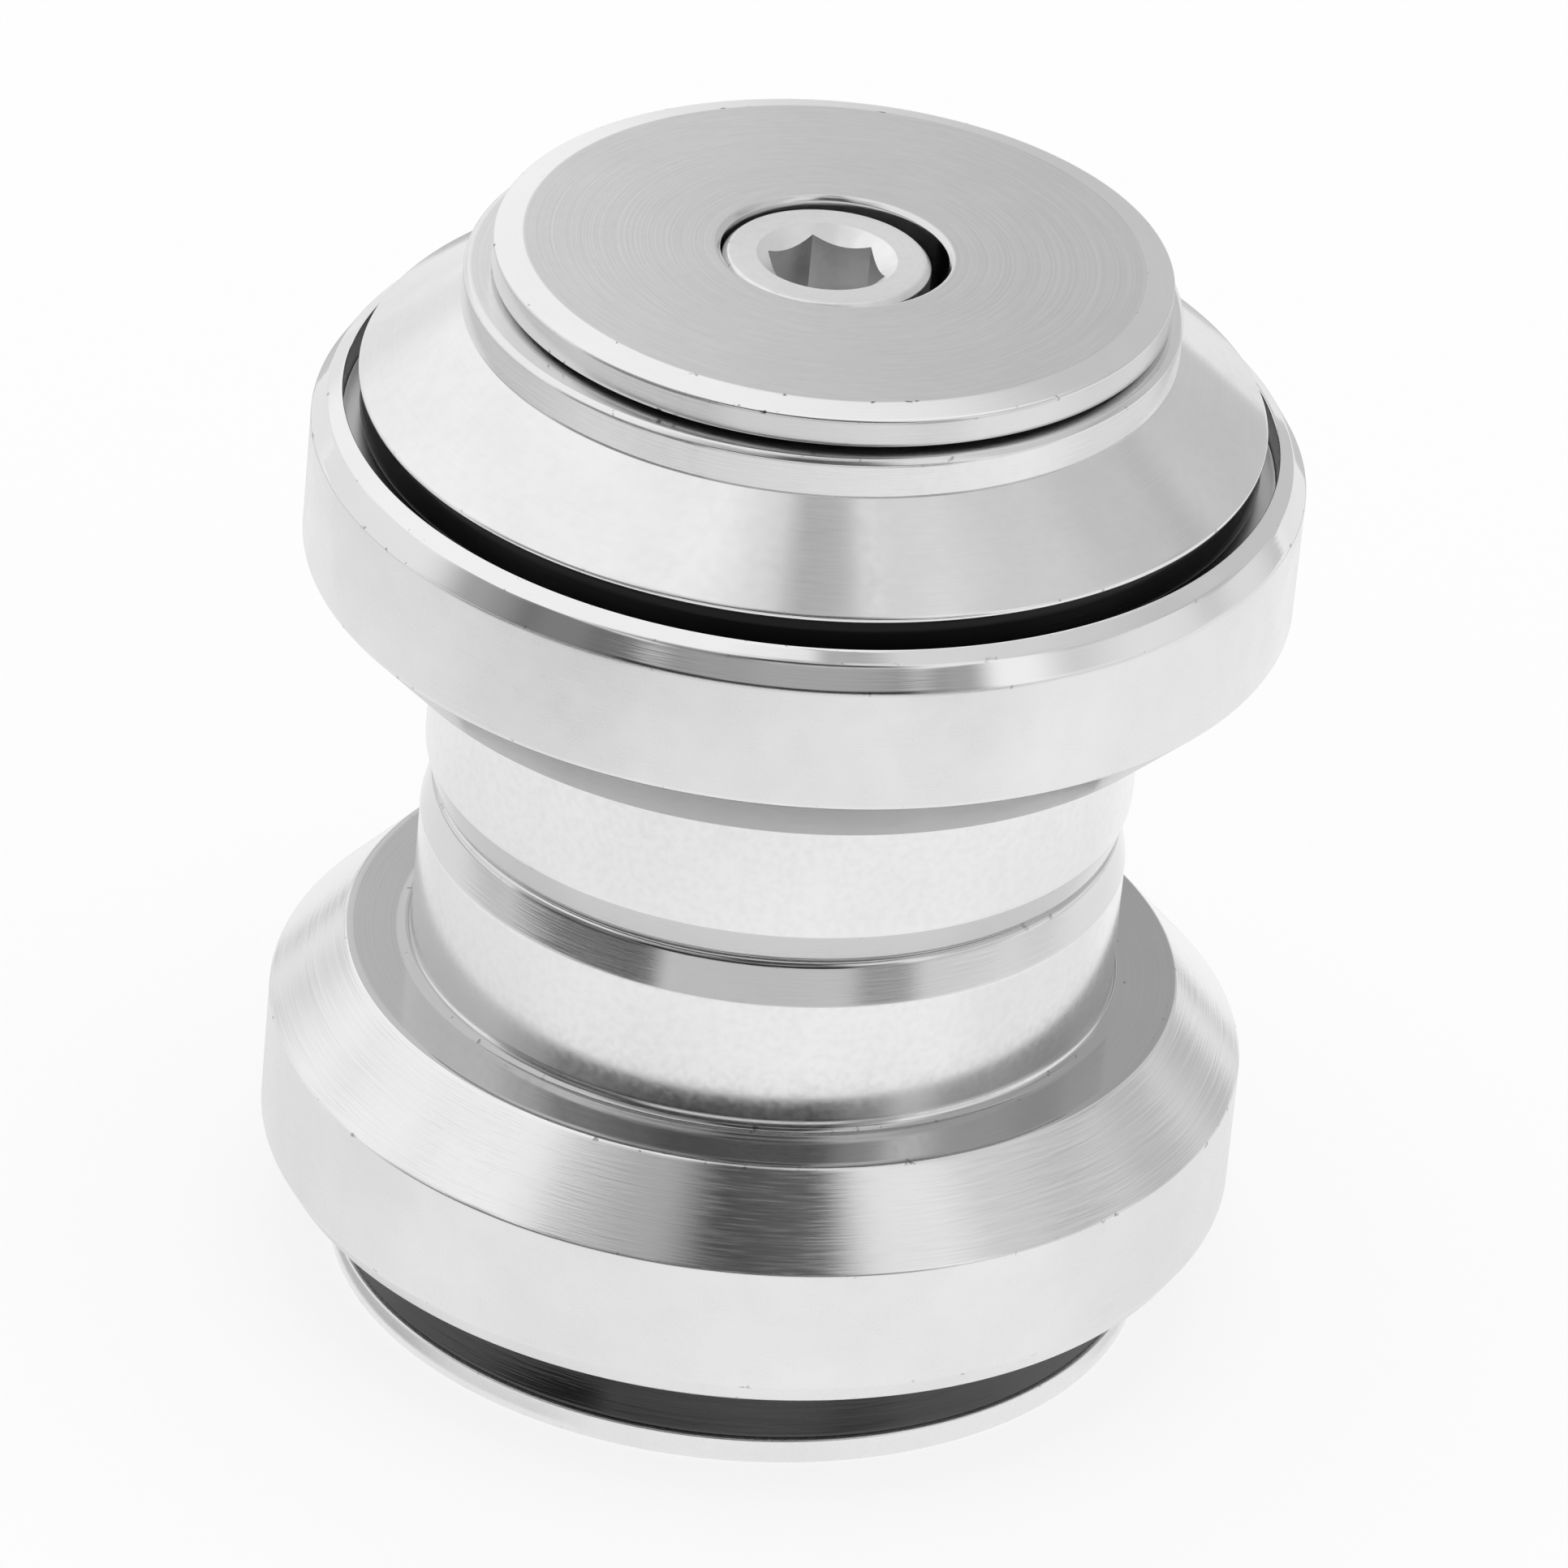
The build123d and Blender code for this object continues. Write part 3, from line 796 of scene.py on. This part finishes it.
def patchwork(name, shader, left, right, low, high, across, upward, place_of, patches):
    """A screen between two azimuths and two heights or reaches, white with grey patches.

    A patch is left, right, low, high, tone, and the feather of its sides and of its ends.
    """
    work = bmesh.new()
    tone_layer = work.verts.layers.float.new("tone")
    bmesh.ops.create_grid(work, x_segments=across, y_segments=upward, size=0.5)
    for vertex in work.verts:
        azimuth = left + (right - left) * (vertex.co.x + 0.5)
        level = low + (high - low) * (vertex.co.y + 0.5)
        tone = 1.0
        for patch in patches:
            patch_left, patch_right, patch_low, patch_high = patch[:4]
            patch_tone, side_feather, end_feather = patch[4:]
            middle = (patch_left + patch_right) / 2
            swing = (azimuth - middle + 180) % 360 - 180
            cover = within(swing, patch_left - middle, patch_right - middle, side_feather)
            cover *= within(level, patch_low, patch_high, end_feather)
            tone *= 1 - cover * (1 - patch_tone)
        vertex[tone_layer] = tone
        vertex.co = place_of(azimuth, level)
    screen(name, work, shader)


def on_tent(azimuth, elevation):
    return camera_target + tent_radius * outward(azimuth, elevation)


def near_headset(azimuth, elevation):
    return camera_target + card_radius * outward(azimuth, elevation)


def over_floor(azimuth, reach):
    return reach * millimetre * outward(azimuth, 0) + Vector((0, 0, shade_height))


patchwork(
    "tent_wall", "ShaderNodeEmission", -180, 180, 0, 90, 180, 90, on_tent,
    [
        (62, 124, 22, 62, 0.68, 14, 10),
        (96, 124, 22, 50, 0.88, 14, 12),
        (36, 124, 62, 80, 0.75, 14, 8),
        (124, 183, -10, 53, 0.61, 14, 16),
        (52, 124, -10, 20, 0.8, 14, 8),
        (102, 124, 12, 24, 0.68, 14, 6),
        (66, 124, 28, 34, 0.8, 14, 4),
        (36, 62, 40, 60, 0.87, 10, 8),
        (-14, 32, 38, 64, 0.11, 18, 4),
        (-50, -8, 36, 43, 0.3, 12, 4),
        (-48, 0, 40, 62, 0.45, 44, 8),
        (-5, 30, 66, 78, 0.48, 18, 8),
        (-30, 4, 64, 79, 0.8, 30, 6),
        (20, 60, 76, 100, 0.5, 16, 6),
        (-43, 33, 6, 32.6, 0.04, 14, 2.5),
        (-68, -39, 6, 34, 0.22, 14, 4),
        (32, 46, 6, 34, 0.38, 8, 3),
        (-30, 30, 32.3, 37, 0.43, 10, 2),
        (-84, -64, 8, 30, 0.38, 16, 6),
        (-112, -86, -10, 22, 0.86, 12, 8),
        (-165, -112, -10, 12, 0.86, 12, 8),
    ],
)
low_cards = [
    (-80, -29, 0.3, 8),
    (-70, -32, 0.3, 14),
    (-28, 28, 0.68, 10),
    (28, 47, 0.36, 10),
    (47, 78, 0.78, 12),
    (126, 190, 0.88, 12),
    (-165, -125, 0.88, 12),
]
patchwork(
    "low_cards", "ShaderNodeBsdfTransparent", -180, 180, -8.5, 14, 180, 20, near_headset,
    [(left, right, -30, 5, tone, feather, 5) for left, right, tone, feather in low_cards],
)
patchwork(
    "floor_shade", "ShaderNodeBsdfTransparent", -180, 180, 20.1, 166, 120, 96, over_floor,
    [(left, right, 131, 400, tone, feather, 8) for left, right, tone, feather in low_cards[:5]]
    + [
        (-175, -8, 30, 400, 0.95, 60, 30),
        (-175, 20, 100, 400, 0.86, 60, 8),
        (-180, -80, 100, 400, 0.76, 36, 8),
        (82, 180, 100, 400, 0.8, 30, 8),
        (135, 200, 100, 400, 0.75, 20, 8),
        (62, 120, 26, 62, 0.92, 24, 14),
        (-130, -62, 26, 55, 0.92, 24, 12),
        (-95, -46, 10, 21.6, 0.5, 14, 2),
        (-46, -22, 10, 21.6, 0.8, 12, 2),
        (66, 100, 10, 21.6, 0.8, 14, 2),
    ],
)

floor_mesh = bpy.data.meshes.new("floor")
floor_work = bmesh.new()
bmesh.ops.create_circle(floor_work, cap_ends=True, segments=96, radius=floor_radius)
floor_work.to_mesh(floor_mesh)
floor_work.free()
white_floor = bpy.data.materials.new("white_floor")
white_floor.use_nodes = True
floor_nodes = white_floor.node_tree.nodes
floor_nodes.clear()
floor_output = floor_nodes.new("ShaderNodeOutputMaterial")
floor_matt = floor_nodes.new("ShaderNodeBsdfDiffuse")
floor_matt.inputs["Color"].default_value = (floor_white, floor_white, floor_white, 1)
floor_glow = floor_nodes.new("ShaderNodeEmission")
floor_mix = floor_nodes.new("ShaderNodeMixShader")
rays = floor_nodes.new("ShaderNodeLightPath")
seen = combine(white_floor, "MAXIMUM", rays.outputs["Is Camera Ray"], rays.outputs["Is Glossy Ray"])
seen = combine(white_floor, "MAXIMUM", seen, rays.outputs["Is Transmission Ray"])
link(white_floor, combine(white_floor, "MULTIPLY", seen, floor_glow_share), floor_mix.inputs["Fac"])
link(white_floor, floor_matt.outputs["BSDF"], floor_mix.inputs[1])
link(white_floor, floor_glow.outputs["Emission"], floor_mix.inputs[2])
link(white_floor, floor_mix.outputs["Shader"], floor_output.inputs["Surface"])
floor_mesh.materials.append(white_floor)
floor = bpy.data.objects.new("floor", floor_mesh)
bpy.context.scene.collection.objects.link(floor)

bpy.context.scene.view_settings.view_transform = "Standard"
